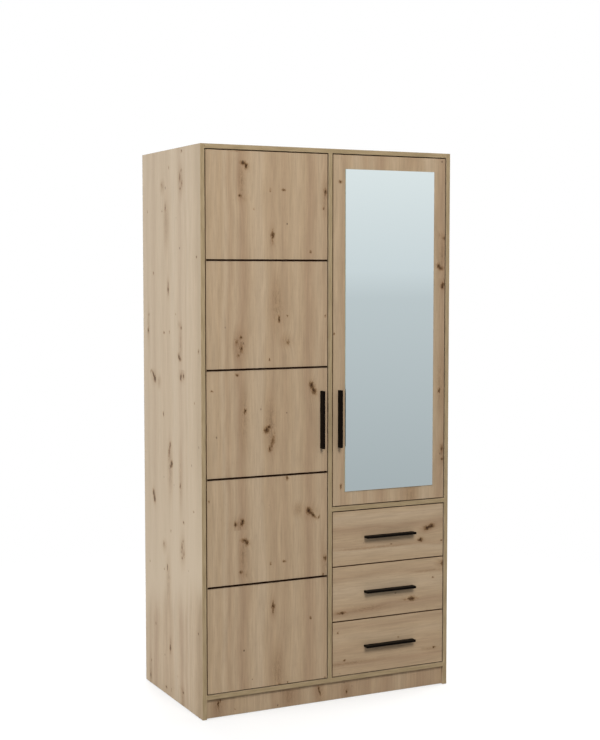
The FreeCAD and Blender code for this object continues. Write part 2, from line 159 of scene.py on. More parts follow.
sheet_stains = [
    (-345, 1880, 14, 65, 0, 0.1), (-338, 1818, 20, 16, 0, 0.2), (-332, 1925, 22, 20, 0, 0.3),
    (-227, 1685, 12, 40, 0, 0.2), (-212, 1450, 22, 90, 0, 0.0), (-174, 1322, 24, 26, 0, 0.2),
    (-354, 1308, 26, 56, 0, 0.1), (-70, 1148, 18, 44, 10, 0.2), (-236, 1030, 22, 90, 0, 0.0),
    (-232, 960, 18, 40, 0, 0.2), (-355, 678, 34, 30, 0, 0.3), (-76, 702, 28, 28, 30, 0.2),
    (-130, 718, 22, 26, 0, 0.2), (-338, 1050, 16, 110, 0, 0.1), (-20, 1835, 14, 70, 0, 0.2),
]
drawer_low = (0.0, -100.0)
drawer_high = (800.0, 600.0)
drawer_streaks = [
    (0, tan), (90, tan), (118, rose), (132, brown), (146, tan), (175, rose), (200, tan), (225, pale),
    (248, tan), (266, rose), (290, tan), (318, rose), (338, brown), (352, tan), (378, pale), (408, palest),
    (434, pale), (450, rose), (470, tan), (505, tan), (528, pale), (546, palest), (558, rose), (585, tan),
    (610, rose), (628, brown), (645, pale), (670, palest), (692, tan), (800, tan),
]
drawer_knots = [
    (613, 428, 8, 13, -15, 0.0), (606, 411, 8, 12, -15, 0.0), (611, 418, 4, 5, 0, 0.0),
    (565, 383, 7.5, 10, 0, 0.05), (559, 257, 3.5, 5, 0, 0.25), (555, 474, 3.5, 5, 0, 0.3),
    (467, 480, 10, 7, 0, 0.2), (345, 347, 8, 14, 0, 0.0), (345, 343, 3.5, 28, 0, 0.3),
    (322, 52, 4.5, 11, 0, 0.15), (322, 48, 3.5, 24, 0, 0.35), (417, 437, 3.5, 6, 0, 0.3),
    (250, 34, 5, 3.5, 0, 0.25), (149, 444, 4, 6, 0, 0.2), (145, 60, 4, 6, 0, 0.2),
    (206, 290, 3.5, 5, 0, 0.35), (292, 412, 4, 7, 0, 0.35),
]
drawer_stains = [
    (607, 415, 14, 34, -15, 0.1), (346, 330, 9, 46, 0, 0.2), (322, 46, 10, 36, 0, 0.1),
    (133, 90, 5, 130, 0, 0.0), (467, 472, 16, 22, 0, 0.1), (564, 382, 10, 18, 0, 0.2),
    (445, 420, 4, 60, 0, 0.1), (553, 180, 4, 170, 0, 0.2), (145, 430, 8, 50, 0, 0.3),
    (328, 150, 14, 100, 0, 0.2),
]
plinth_low = (-600.0, -100.0)
plinth_high = (600.0, 200.0)
# The plinth's streaks lean to brown and rose: partly its own print, partly painted shade of its recess under
# the bottom panel
plinth_streaks_and_shade = [
    (-600, tan), (-470, tan), (-437, brown), (-405, rose), (-350, tan), (-300, pale), (-235, pale),
    (-222, brown), (-200, rose), (-150, brown), (-110, rose), (-80, pale), (-36, brown), (-15, tan),
    (35, rose), (75, brown), (120, rose), (165, brown), (185, tan), (240, brown), (300, pale), (350, rose),
    (400, brown), (450, rose), (600, tan),
]
plinth_knots = [
    (-437, 50, 3.5, 14, 0, 0.2), (-428, 58, 2.5, 8, 0, 0.3), (-38, 45, 3.5, 20, 15, 0.25),
    (75, 24, 4, 4, 0, 0.2), (-372, 22, 3, 3, 0, 0.35),
]
plinth_stains = [
    (-437, 45, 20, 40, 0, 0.0), (-34, 34, 18, 44, 10, 0.0), (75, 25, 16, 30, 0, 0.1),
    (-160, 40, 34, 60, 0, 0.3),
]

# Streaks of the print: how far in mm they bend over wide spots, and how they flow around the stains,
# with the span in shares of a stain's half size
bend_spot = (240, 330, 300)
bend_depth = 60.0
flow_span = (0.2, 2.2)
flow_depth = 12.0

# Grain of the print: spots in mm across, along and through the sheet, and how far each shades the tone.
# Real pores are 1 mm wide and are drawn at 1.6 mm so that they show.
growth_spot = (15, 230, 40)
growth_shade = (0.952, 1.048)
line_spot = (6, 110, 12)
line_shade = (0.916, 1.084)
pore_spot = (1.6, 24, 6)
pore_span = (0.60, 0.78)
pore_shade = -0.14
pore_relief = -0.6

# Knots and stains of the print: their ragged outlines in mm, and tints over twice their half size.
# The burr is a fine dark and pale figure inside the stains, which also breaks up the knots.
# Real burr is 2 mm wide and is drawn at 4 mm so that it shows.
ragged_spot = (6, 10, 1)
ragged_shift = (13, 18, 0)
tint_reach = 2.0
stain_stops = [(0.0, "#E5DED7"), (0.3, "#EFEAE5"), (0.6, "#FAF8F6"), (0.85, "#FFFFFF")]
knot_stops = [
    (0.0, "#5E4C39"), (0.14, "#6C5946"), (0.30, "#A08D78"), (0.45, "#D6C9BA"), (0.62, "#F1ECE6"),
    (0.8, "#FFFFFF"),
]
burr_spot = (4, 15, 5)
burr_span = (0.3, 1.3)
burr_middle = 0.52
burr_break = 1.8

# Loose specks of the print: one in each cell of this size in mm, of which the rarest show,
# with their radius and soft rim in shares of a cell
speck_cell = (34, 52, 40)
speck_shift = (7, 10, 0)
speck_rarity = 0.7
speck_radius = 0.12
speck_rim = 0.06
speck_strength = 0.75
speck_tone = "#4A382A"

# The boards. A painted sheen pales the side panels: a paler tone over their grain that stands in for bright
# surroundings reflected at a grazing angle, with its spots and heights in metres.
# The edge bands are in mm, and a face is what turns more than this share towards the board's thickness.
# The paper's roughness and its relief in mm follow the height of its grain.
painted_sheen_tone = "#BDAA91"
painted_sheen_spot = (0.06, 0.06, 0.5)
painted_sheen_foot = (0.40, 0.56)
painted_sheen_even = 1.0
painted_sheen_drift = 0.2
painted_sheen_slope = 0.26
painted_sheen_rise = (0.05, 0.85)
painted_sheen_fall = (1.0, 0.5)
carcass_band = [(0.3, "#958466"), (0.5, "#A08E70"), (0.7, "#A99779")]
# The fronts' band is dark brown: partly the band's own colour, partly painted shade of the gaps between the
# fronts
front_band_and_gap_shade = [(0.3, "#47301A"), (0.5, "#503720"), (0.7, "#5A4028")]
band_and_gap_shade_outline = 0.8
band_line_width = 5
band_line_length = 60
face_share = 0.6
grain_span = (-0.2, 0.8)
paper_rough = (0.56, 0.44)
paper_gloss = 0.2
emboss_depth = 0.1


def nearest_spot(tree, place, spots):
    """Distance to the nearest of many tilted ellipses, in shares of its half size plus how faint it is."""
    blend = 0.25
    nearest = None
    for across, along, half_width, half_length, tilt, faint in spots:
        inside = add(tree, "Mapping", {
            "Vector": place, "Location": (across, along, 0), "Rotation": (0, 0, math.radians(tilt)),
            "Scale": (half_width, half_length, 1),
        }, vector_type="TEXTURE")
        middle = add(tree, "VectorMath", {0: inside}, operation="LENGTH")
        reach = add(tree, "Math", {0: middle, 1: faint}, operation="ADD")
        if nearest is None:
            nearest = reach
        else:
            nearest = add(tree, "Math", {0: nearest, 1: reach, 2: blend}, operation="SMOOTH_MIN")
    return nearest


def oak_print(name, low, high, streaks, knots, stains):
    """Printed oak paper as a node group, from a place on the sheet in mm to its colour and grain height."""
    tree = bpy.data.node_groups.new(name, "ShaderNodeTree")
    tree.interface.new_socket("Place", in_out="INPUT", socket_type="NodeSocketVector")
    tree.interface.new_socket("Painted sheen", in_out="INPUT", socket_type="NodeSocketFloat")
    tree.interface.new_socket("Colour", in_out="OUTPUT", socket_type="NodeSocketColor")
    tree.interface.new_socket("Height", in_out="OUTPUT", socket_type="NodeSocketFloat")
    place = add(tree, "NodeGroupInput", output="Place")
    painted_sheen = place.node.outputs["Painted sheen"]
    wrapped = add(tree, "VectorMath", {0: place, 1: (*high, 1.0), 2: (*low, -1.0)}, operation="WRAP")

    # Ragged outlines come from a small wander of the place
    ragged = add(tree, "VectorMath", {0: wrapped, 1: [1 / s for s in ragged_spot]}, operation="MULTIPLY")
    wander_noise = {"Vector": ragged, "Scale": 1.0, "Detail": 4.0, "Roughness": 0.65}
    wander = add(tree, "TexNoise", wander_noise, output="Color")
    centred = add(tree, "VectorMath", {0: wander, 1: (0.5, 0.5, 0.5)}, operation="SUBTRACT")
    spread = add(tree, "VectorMath", {0: centred, 1: ragged_shift, 2: wrapped}, operation="MULTIPLY_ADD")
    knot_reach = nearest_spot(tree, spread, knots)
    stain_reach = nearest_spot(tree, spread, stains)

    # Streaks bend a little along the sheet and flow around the stains
    bend = flecks(tree, place, bend_spot)
    flow = {0: stain_reach, 1: flow_span[0], 2: flow_span[1], 3: flow_depth, 4: 0.0}
    around = add(tree, "MapRange", flow, interpolation_type="SMOOTHSTEP")
    across = add(tree, "SeparateXYZ", {0: wrapped})
    bent = add(tree, "Math", {0: bend, 1: bend_depth, 2: across}, operation="MULTIPLY_ADD")
    flowing = add(tree, "Math", {0: bent, 1: around}, operation="ADD")
    share = add(tree, "MapRange", {0: flowing, 1: low[0] + bend_depth / 2, 2: high[0] + bend_depth / 2})
    tones = [((edge - low[0]) / (high[0] - low[0]), hue) for edge, hue in streaks]
    tone = add(tree, "ValToRGB", {0: share}, stops=tones)

    # Growth streaks, fine lines and pores shade the tone, and a painted sheen pales it
    moved = add(tree, "CombineXYZ", {0: around})
    grain_place = add(tree, "VectorMath", {0: place, 1: moved}, operation="ADD")
    growth = flecks(tree, grain_place, growth_spot, detail=4.0, stir=0.7)
    lines = flecks(tree, grain_place, line_spot, detail=4.0, stir=0.4)
    pores = flecks(tree, place, pore_spot, detail=1.0)
    pore_mask = add(tree, "MapRange", {0: pores, 1: pore_span[0], 2: pore_span[1]})
    shade_growth = add(tree, "MapRange", {0: growth, **usual_noise, 3: growth_shade[0], 4: growth_shade[1]})
    shade_lines = add(tree, "MapRange", {0: lines, **usual_noise, 3: line_shade[0], 4: line_shade[1]})
    shade = add(tree, "Math", {0: shade_growth, 1: shade_lines}, operation="MULTIPLY")
    pored = add(tree, "Math", {0: pore_mask, 1: pore_shade, 2: shade}, operation="MULTIPLY_ADD")
    grained = add(tree, "VectorMath", {0: tone, "Scale": pored}, operation="SCALE")
    painted_sheen_colour = add(tree, "Mix", {0: painted_sheen, 1: grained, 2: colour(painted_sheen_tone)}, data_type="RGBA")

    # Stains tint what lies under them, and the burr shades it
    stain_share = add(tree, "Math", {0: stain_reach, 1: 1 / tint_reach}, operation="MULTIPLY")
    stain_tint = add(tree, "ValToRGB", {0: stain_share}, stops=stain_stops)
    stained = add(tree, "Mix", {0: 1.0, 1: painted_sheen_colour, 2: stain_tint}, data_type="RGBA", blend_type="MULTIPLY")
    burr = flecks(tree, grain_place, burr_spot, detail=3.0, stir=1.2)
    burr_reach = {0: stain_reach, 1: burr_span[0], 2: burr_span[1], 3: 1.0, 4: 0.0}
    burr_depth = add(tree, "MapRange", burr_reach, interpolation_type="SMOOTHSTEP")
    burr_swing = add(tree, "Math", {0: burr, 1: burr_middle}, operation="SUBTRACT")
    burr_shade = add(tree, "Math", {0: burr_swing, 1: burr_depth, 2: 1.0}, operation="MULTIPLY_ADD")
    figured = add(tree, "VectorMath", {0: stained, "Scale": burr_shade}, operation="SCALE")

    # Knots, broken up by the burr
    broken = add(tree, "Math", {0: burr_swing, 1: burr_break, 2: knot_reach}, operation="MULTIPLY_ADD")
    knot_share = add(tree, "Math", {0: broken, 1: 1 / tint_reach}, operation="MULTIPLY")
    knot_tint = add(tree, "ValToRGB", {0: knot_share}, stops=knot_stops)
    knotted = add(tree, "Mix", {0: 1.0, 1: figured, 2: knot_tint}, data_type="RGBA", blend_type="MULTIPLY")

    # Loose specks
    loose = add(tree, "VectorMath", {0: centred, 1: speck_shift, 2: place}, operation="MULTIPLY_ADD")
    cells = add(tree, "VectorMath", {0: loose, 1: [1 / s for s in speck_cell]}, operation="MULTIPLY")
    speck_reach = add(tree, "TexVoronoi", {"Vector": cells, "Scale": 1.0}, output="Distance")
    speck_kind = add(tree, "SeparateColor", {0: speck_reach.node.outputs["Color"]})
    speck_size = add(tree, "MapRange", {0: speck_kind, 1: speck_rarity, 2: 1.0, 3: 0.0, 4: speck_radius})
    speck_depth = add(tree, "Math", {0: speck_size, 1: speck_reach}, operation="SUBTRACT")
    speck_dark = add(tree, "MapRange", {0: speck_depth, 1: 0.0, 2: speck_rim, 3: 0.0, 4: speck_strength})
    specked = add(tree, "Mix", {0: speck_dark, 1: knotted, 2: colour(speck_tone)}, data_type="RGBA")

    height = add(tree, "Math", {0: pore_mask, 1: pore_relief, 2: lines}, operation="MULTIPLY_ADD")
    add(tree, "NodeGroupOutput", {"Colour": specked, "Height": height})
    return tree


def box_mm(node):
    """A node's lowest and highest corners in mm."""
    return [np.array(corner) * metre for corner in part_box(node)]


def oak_board(node, printed, across, along, face, band_stops, with_painted_sheen=False):
    """Laminated board: printed, lightly embossed oak paper on its two faces, and a plain edge band elsewhere.

    It looks dry and satin: no clear reflection, and a soft gloss that the lines and pores break up.
    Each of across and along is an axis number, a sign and an offset in mm, from the board to the sheet.
    A board with painted sheen gets a paler tone over its grain, which stands in for bright surroundings
    reflected at a grazing angle. It is strongest just above the foot, and the foot is left clear.
    """
    made, tree = new_material("oak_" + node)
    board = add(tree, "TexCoord", output="Object")
    normal = add(tree, "SeparateXYZ", {0: board.node.outputs["Normal"]})
    axes = add(tree, "SeparateXYZ", {0: board}).node.outputs
    on_sheet = [
        add(tree, "Math", {0: axes[axis], 1: sign * metre, 2: offset}, operation="MULTIPLY_ADD")
        for axis, sign, offset in (across, along)
    ]
    place = add(tree, "CombineXYZ", {0: on_sheet[0], 1: on_sheet[1]})
    painted_sheen = 0.0
    # Painted sheen: a paler tone for the reflected surroundings, rising just above the foot and fading to
    # half higher up
    if with_painted_sheen:
        drift = flecks(tree, board, painted_sheen_spot)
        slope = {0: axes[y_axis], 1: painted_sheen_slope, 2: axes[z_axis]}
        sloped = add(tree, "Math", slope, operation="MULTIPLY_ADD")
        height = add(tree, "Math", {0: drift, 1: painted_sheen_drift, 2: sloped}, operation="MULTIPLY_ADD")
        foot = {0: height, 1: painted_sheen_foot[0], 2: painted_sheen_foot[1], 3: painted_sheen_rise[0], 4: painted_sheen_rise[1]}
        rise = add(tree, "MapRange", foot, interpolation_type="SMOOTHSTEP")
        upper = {0: height, 1: painted_sheen_foot[1], 2: painted_sheen_even, 3: painted_sheen_fall[0], 4: painted_sheen_fall[1]}
        fall = add(tree, "MapRange", upper)
        painted_sheen = add(tree, "Math", {0: rise, 1: fall}, operation="MULTIPLY")
    paper = add(tree, "Group", {"Place": place, "Painted sheen": painted_sheen}, output="Colour", node_tree=printed)
    grain = paper.node.outputs["Height"]
    facing = add(tree, "Math", {0: normal.node.outputs[face]}, operation="ABSOLUTE")
    on_face = add(tree, "Math", {0: facing, 1: face_share}, operation="GREATER_THAN")

    # The edge band is plain, with faint lines along it. Its thickness shows as a thin outline of each face.
    # On the fronts, the dark band and this outline are partly the band's own colour and partly painted shade
    # of the gaps between the fronts.
    in_mm = add(tree, "VectorMath", {0: board, "Scale": metre}, operation="SCALE")
    low, high = box_mm(node)
    from_middle = add(tree, "VectorMath", {0: in_mm, 1: (low + high) / 2}, operation="SUBTRACT")
    spread = add(tree, "VectorMath", {0: from_middle}, operation="ABSOLUTE")
    margin = add(tree, "VectorMath", {0: (high - low) / 2, 1: spread}, operation="SUBTRACT")
    margins = add(tree, "SeparateXYZ", {0: margin}).node.outputs
    from_edge = add(tree, "Math", {0: margins[across[0]], 1: margins[along[0]]}, operation="MINIMUM")
    within = add(tree, "Math", {0: from_edge, 1: band_and_gap_shade_outline}, operation="GREATER_THAN")
    on_paper = add(tree, "Math", {0: on_face, 1: within}, operation="MULTIPLY")
    band_spot = [band_line_width] * 3
    band_spot[z_axis if along[0] == z_axis else x_axis] = band_line_length
    band_lines = flecks(tree, in_mm, band_spot)
    band = add(tree, "ValToRGB", {0: band_lines}, stops=band_stops)
    skin = add(tree, "Mix", {0: on_paper, 1: band, 2: paper}, data_type="RGBA")
    gloss = {0: grain, 1: grain_span[0], 2: grain_span[1], 3: paper_rough[0], 4: paper_rough[1]}
    rough = add(tree, "MapRange", gloss)
    emboss = add(tree, "Bump", {"Height": grain, "Strength": 0.25, "Distance": emboss_depth / metre})
    dress(tree, {"Base Color": skin, "Roughness": rough, "Normal": emboss, "Specular IOR Level": paper_gloss})
    return made


def hardboard(name, pale_axis, pale_sign):
    """Pressed wood fibre sheet: lacquered cream and even on its good face, raw brown and matted on the other.

    Its fibres are 1 mm wide and are drawn at 4 mm so that they show.
    """
    fibre_spot = [4 / metre] * 3
    cloud_spot = [90 / metre] * 3
    raw_stops = [(0.25, "#6E5138"), (0.5, "#8A6A4C"), (0.75, "#9E7F60")]
    lacquer_stops = [(0.3, "#D3CAB8"), (0.7, "#D9D0BF")]
    raw_rough = 0.85
    lacquer_rough = 0.5
    mat_depth = 0.3
    made, tree = new_material(name)
    board = add(tree, "TexCoord", output="Object")
    axes = add(tree, "SeparateXYZ", {0: board.node.outputs["Normal"]}).node.outputs
    good_face = add(tree, "Math", {0: axes[pale_axis], 1: pale_sign, 2: 0.5}, operation="MULTIPLY_ADD")
    fibre = flecks(tree, board, fibre_spot, detail=4.0)
    cloud = flecks(tree, board, cloud_spot)
    raw = add(tree, "ValToRGB", {0: fibre}, stops=raw_stops)
    lacquer = add(tree, "ValToRGB", {0: cloud}, stops=lacquer_stops)
    skin = add(tree, "Mix", {0: good_face, 1: raw, 2: lacquer}, data_type="RGBA")
    rough = add(tree, "MapRange", {0: good_face, 3: raw_rough, 4: lacquer_rough})
    matted = add(tree, "Bump", {"Height": fibre, "Strength": 0.3, "Distance": mat_depth / metre})
    dress(tree, {"Base Color": skin, "Roughness": rough, "Normal": matted})
    return made


def speckled(name, spot, tones, rough, relief, fixed):
    """A coated, moulded or plated surface: spots of two near tones, uneven gloss and a slight relief.

    The spots and the relief are in mm. Real grit, moulding texture and plating grain are finer than 1 mm,
    and are drawn coarser so that they show. The fixed values go straight to the shader.
    """
    made, tree = new_material(name)
    place = add(tree, "TexCoord", output="Object")
    in_mm = add(tree, "VectorMath", {0: place, "Scale": metre}, operation="SCALE")
    spots = flecks(tree, in_mm, spot, detail=3.0)
    skin = add(tree, "ValToRGB", {0: spots}, stops=[(0.3, tones[0]), (0.7, tones[1])])
    gloss = add(tree, "MapRange", {0: spots, **usual_noise, 3: rough[0], 4: rough[1]})
    bump = add(tree, "Bump", {"Height": spots, "Strength": 0.2, "Distance": relief / metre})
    dress(tree, {"Base Color": skin, "Roughness": gloss, "Normal": bump, **fixed})
    return made


def silvered_glass():
    """Float glass silvered behind: a clear, faintly hazy mirror face and chamfer, and green ground edges."""
    haze_spot = [250 / metre] * 3
    clear_rough = (0.006, 0.014)
    ground_rough = 0.35
    edge_tone = colour("#8FAFA6")
    silver_tone = colour("#E9EFEF")
    made, tree = new_material("silvered_float_glass")
    place = add(tree, "TexCoord", output="Object")
    axes = add(tree, "SeparateXYZ", {0: place.node.outputs["Normal"]}).node.outputs
    facing = add(tree, "Math", {0: axes[y_axis]}, operation="ABSOLUTE")
    silver = add(tree, "Math", {0: facing, 1: 0.5}, operation="GREATER_THAN")
    haze = flecks(tree, place, haze_spot)
    skin = add(tree, "Mix", {0: silver, 1: edge_tone, 2: silver_tone}, data_type="RGBA")
    clear = add(tree, "MapRange", {0: haze, **usual_noise, 3: clear_rough[0], 4: clear_rough[1]})
    rough = add(tree, "Mix", {0: silver, 1: ground_rough, 2: clear})
    dress(tree, {"Base Color": skin, "Metallic": silver, "Roughness": rough})
    return made


# Finishes of the boards: the print, where its sheet lies on the board, the face that it covers and the band
sheet_print = oak_print("oak_sheet_print", sheet_low, sheet_high, sheet_streaks, sheet_knots, sheet_stains)
drawer_print = oak_print(
    "oak_drawer_print", drawer_low, drawer_high, drawer_streaks, drawer_knots, drawer_stains)
plinth_print_and_shade = oak_print(
    "oak_plinth_print_and_shade", plinth_low, plinth_high, plinth_streaks_and_shade, plinth_knots, plinth_stains)
boards = {
    "left_door_panel": (sheet_print, (x_axis, 1, 0), (z_axis, 1, 0), y_axis, front_band_and_gap_shade),
    "right_door_panel": (sheet_print, (x_axis, -1, 125), (z_axis, -1, 2200), y_axis, front_band_and_gap_shade),
    # The side panels carry a painted sheen (their last True)
    "left_side_panel": (sheet_print, (y_axis, 1, -262), (z_axis, -1, 1878), x_axis, carcass_band, True),
    "right_side_panel": (sheet_print, (y_axis, 1, -120), (z_axis, 1, 900), x_axis, carcass_band, True),
    "centre_divider": (sheet_print, (y_axis, -1, -190), (z_axis, 1, 300), x_axis, carcass_band),
    "top_panel": (sheet_print, (y_axis, 1, -330), (x_axis, 1, 1150), z_axis, carcass_band),
    "bottom_panel": (sheet_print, (y_axis, -1, -60), (x_axis, -1, 700), z_axis, carcass_band),
    "drawer_bay_shelf": (sheet_print, (y_axis, 1, -480), (x_axis, 1, 420), z_axis, carcass_band),
    "hat_shelf": (sheet_print, (y_axis, -1, -250), (x_axis, 1, 90), z_axis, carcass_band),
    "lower_shelf": (sheet_print, (y_axis, 1, -30), (x_axis, -1, 1500), z_axis, carcass_band),
    "upper_shelf": (sheet_print, (y_axis, -1, -410), (x_axis, -1, 880), z_axis, carcass_band),
    "plinth": (plinth_print_and_shade, (x_axis, 1, 0), (z_axis, 1, 0), y_axis, carcass_band),
}
drawer_boards = {
    "_drawer_front": (drawer_print, (z_axis, 1, 0), (x_axis, 1, 0), y_axis, front_band_and_gap_shade),
    "_drawer_sides": (sheet_print, (z_axis, 1, -700), (y_axis, 1, 1600), x_axis, carcass_band),
    "_drawer_back": (sheet_print, (z_axis, 1, -500), (x_axis, 1, 1300), y_axis, carcass_band),
}
levels = ("lower", "middle", "upper")
for level in levels:
    boards.update({level + ending: cut for ending, cut in drawer_boards.items()})
finishes = {name: oak_board(name, *cut) for name, cut in boards.items()}
finishes["back_panel"] = hardboard("back_panel_hardboard", y_axis, -1)
drawer_hardboard = hardboard("drawer_bottom_hardboard", z_axis, 1)

# Powder coat, sprayed and baked: near black with a fine orange peel, and hardly any shine
black_powder = speckled(
    "matt_black_powder_coat", spot=(1.2, 1.2, 1.2), tones=("#070403", "#0D0805"), rough=(0.42, 0.56),
    relief=0.12, fixed={"Specular IOR Level": 0.05})

# Foil wrapped round a strip: brown black and smooth, with faint lines along it
black_strip = speckled(
    "black_foiled_strip", spot=(40, 3, 1.5), tones=("#180A02", "#200F04"), rough=(0.34, 0.5),
    relief=0.06, fixed={"Specular IOR Level": 0.05})

# Chrome on drawn tube: bright and clear, with long faint lines along it
chrome = speckled(
    "chromed_steel_tube", spot=(60, 1.5, 1.5), tones=("#C9CACB", "#DADADA"), rough=(0.07, 0.14),
    relief=0.02, fixed={"Metallic": 1.0})

# Nickel on pressed steel: warm grey and silky
nickel = speckled(
    "nickel_plated_steel", spot=(2.5, 2.5, 9), tones=("#A8A49B", "#C4C0B6"), rough=(0.22, 0.36),
    relief=0.04, fixed={"Metallic": 1.0})

# Zinc on screws and fittings: cool grey, duller and a little cloudy
zinc = speckled(
    "zinc_plated_steel", spot=(3, 3, 3), tones=("#9DA1A6", "#BCBFC2"), rough=(0.28, 0.44),
    relief=0.04, fixed={"Metallic": 1.0})

# Moulded nylon: milky white and waxy
nylon = speckled(
    "natural_nylon", spot=(2, 2, 2), tones=("#DAD6CB", "#E6E3DA"), rough=(0.36, 0.5),
    relief=0.05, fixed={"IOR": 1.53})

# Epoxy coat on folded steel: off white, with a slight orange peel
white_epoxy = speckled(
    "white_epoxy_coated_steel", spot=(1.5, 1.5, 1.5), tones=("#D9D7D0", "#E2E0DA"), rough=(0.34, 0.46),
    relief=0.1, fixed={})

# Moulded plastic with a spark finish: brown and dull
glide_plastic = speckled(
    "brown_moulded_plastic", spot=(2, 2, 2), tones=("#3D2F24", "#4C3C2F"), rough=(0.5, 0.65),
    relief=0.1, fixed={})

# Finishes of the other pieces, by the end of the piece's name
finish_by_ending = {
    "_drawer_bottom": drawer_hardboard, "_handle": black_powder, "_handle_screws": zinc,
    "_strips": black_strip, "_hinge_arms": nickel, "_hinge_cups": nickel, "_hinge_pins": zinc,
    "_runners": white_epoxy, "_rollers": nylon, "cam_locks": zinc, "cam_bolts": zinc, "shelf_pins": zinc,
    "_nails": zinc, "floor_glides": glide_plastic, "hanging_rail": chrome, "_sockets": chrome,
    "mirror": silvered_glass(),
}
for name, node in nodes.items():
    for ending, finish in finish_by_ending.items():
        if name.endswith(ending):
            finishes[name] = finish
    for slot in node.material_slots:
        slot.material = finishes[name]

# Screw heads: the grid of one head, and its middle, rim and cross recess in shares of its radius and height.
# The skew direction only sets how far the crosses are turned.
head_rings = 9
head_spokes = 48
head_middle = 0.08
rim_height = 0.3
recess_half_width = 0.15
recess_reach = 0.66
recess_depth = 0.6
skew_direction = (0.3, 0.5, 0.8)


def screw_heads(name, body, seats, outward, radius, height):
    """Pan heads with a cross recess on one body, from seats in mm.

    Over the seat a head rises by its height times (1 - (1 - rim height) * share ** 4), where share runs from
    the middle to the rim, less a recess near two crossing lines. The grid runs over the share and the turn.
    """
    outward = np.array(outward, float)
    side = np.cross(outward, skew_direction)
    side /= np.linalg.norm(side)
    other = np.cross(outward, side)
    share = np.linspace(head_middle, 1.0, head_rings)[:, None]
    turn = np.linspace(0.0, 2 * np.pi, head_spokes, endpoint=False)[None, :]
    across = share * np.cos(turn)
    along = share * np.sin(turn)
    from_arm = np.minimum(np.abs(across), np.abs(along))
    recess = (from_arm < recess_half_width) & (share < recess_reach)
    rise = height * (1 - (1 - rim_height) * share ** 4 - recess_depth * recess)
    rise = np.vstack([rise, 0 * turn])
    across = np.vstack([across, across[-1:]]) * radius
    along = np.vstack([along, along[-1:]]) * radius
    head = across[..., None] * side + along[..., None] * other + rise[..., None] * outward
    points = (np.array(seats, float)[:, None, None, :] + head).reshape(-1, 3) / metre

    # Quads between the rings, and one many-sided face to close the middle and one the underside
    rings = head_rings + 1
    screw, ring, spoke = np.meshgrid(
        np.arange(len(seats)), np.arange(rings - 1), np.arange(head_spokes), indexing="ij")
    here = (screw * rings + ring) * head_spokes
    beside = (spoke + 1) % head_spokes
    corners = [here + spoke, here + head_spokes + spoke, here + head_spokes + beside, here + beside]
    quads = np.stack(corners, -1).reshape(-1, 4).tolist()
    first = np.arange(len(seats))[:, None] * rings * head_spokes + np.arange(head_spokes)
    last = (first + (rings - 1) * head_spokes)[:, ::-1]
    mesh = bpy.data.meshes.new(name)
    mesh.from_pydata(points.tolist(), [], quads + first.tolist() + last.tolist())
    mesh.materials.append(zinc)
    piece = bpy.data.objects.new(name, mesh)
    scene.collection.objects.link(piece)
    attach(piece, body)


# Hinge screws: two wood screws and two adjusting screws on each plate, and one on each end of a cup's flange.
# A head is its radius and height. Lengths are in mm, here and for the runners and sockets below.
# Each door gives its number of hinges and the way inwards.
hinge_end_distance = 100.0
plate_thickness = 8.0
plate_rear_margin = 9.0
plate_screw_rise = 14.0
plate_screw_head = (3.8, 1.8)
adjuster_pitch = 14.0
adjuster_head = (3.0, 1.2)
cup_screw_rise = 22.0
cup_screw_head = (3.4, 1.6)
for door, count, inward in (("left_door", 4, 1), ("right_door", 3, -1)):
    door_low, door_high = box_mm(door + "_panel")
    arm_low, arm_high = box_mm(door + "_hinge_arms")
    cup_low, cup_high = box_mm(door + "_hinge_cups")
    lowest = door_low[z_axis] + hinge_end_distance
    highest = door_high[z_axis] - hinge_end_distance
    heights = np.linspace(lowest, highest, count)
    plate_x = (arm_low[x_axis] if inward > 0 else arm_high[x_axis]) + inward * plate_thickness
    plate_rear = arm_high[y_axis] - plate_rear_margin
    plate_middle = plate_rear - adjuster_pitch
    cup_x = (cup_low[x_axis] + cup_high[x_axis]) / 2
    cup_rear = cup_high[y_axis]
    wood = [(plate_x, plate_middle, z + way * plate_screw_rise) for z in heights for way in (-1, 1)]
    adjusters = [(plate_x, plate_rear - step * adjuster_pitch, z) for z in heights for step in (0, 2)]
    flange = [(cup_x, cup_rear, z + way * cup_screw_rise) for z in heights for way in (-1, 1)]
    screw_heads(door + "_plate_screws", "carcass", wood, (inward, 0, 0), *plate_screw_head)
    screw_heads(door + "_plate_adjusters", "carcass", adjusters, (inward, 0, 0), *adjuster_head)
    screw_heads(door + "_cup_screws", door, flange, (0, 1, 0), *cup_screw_head)

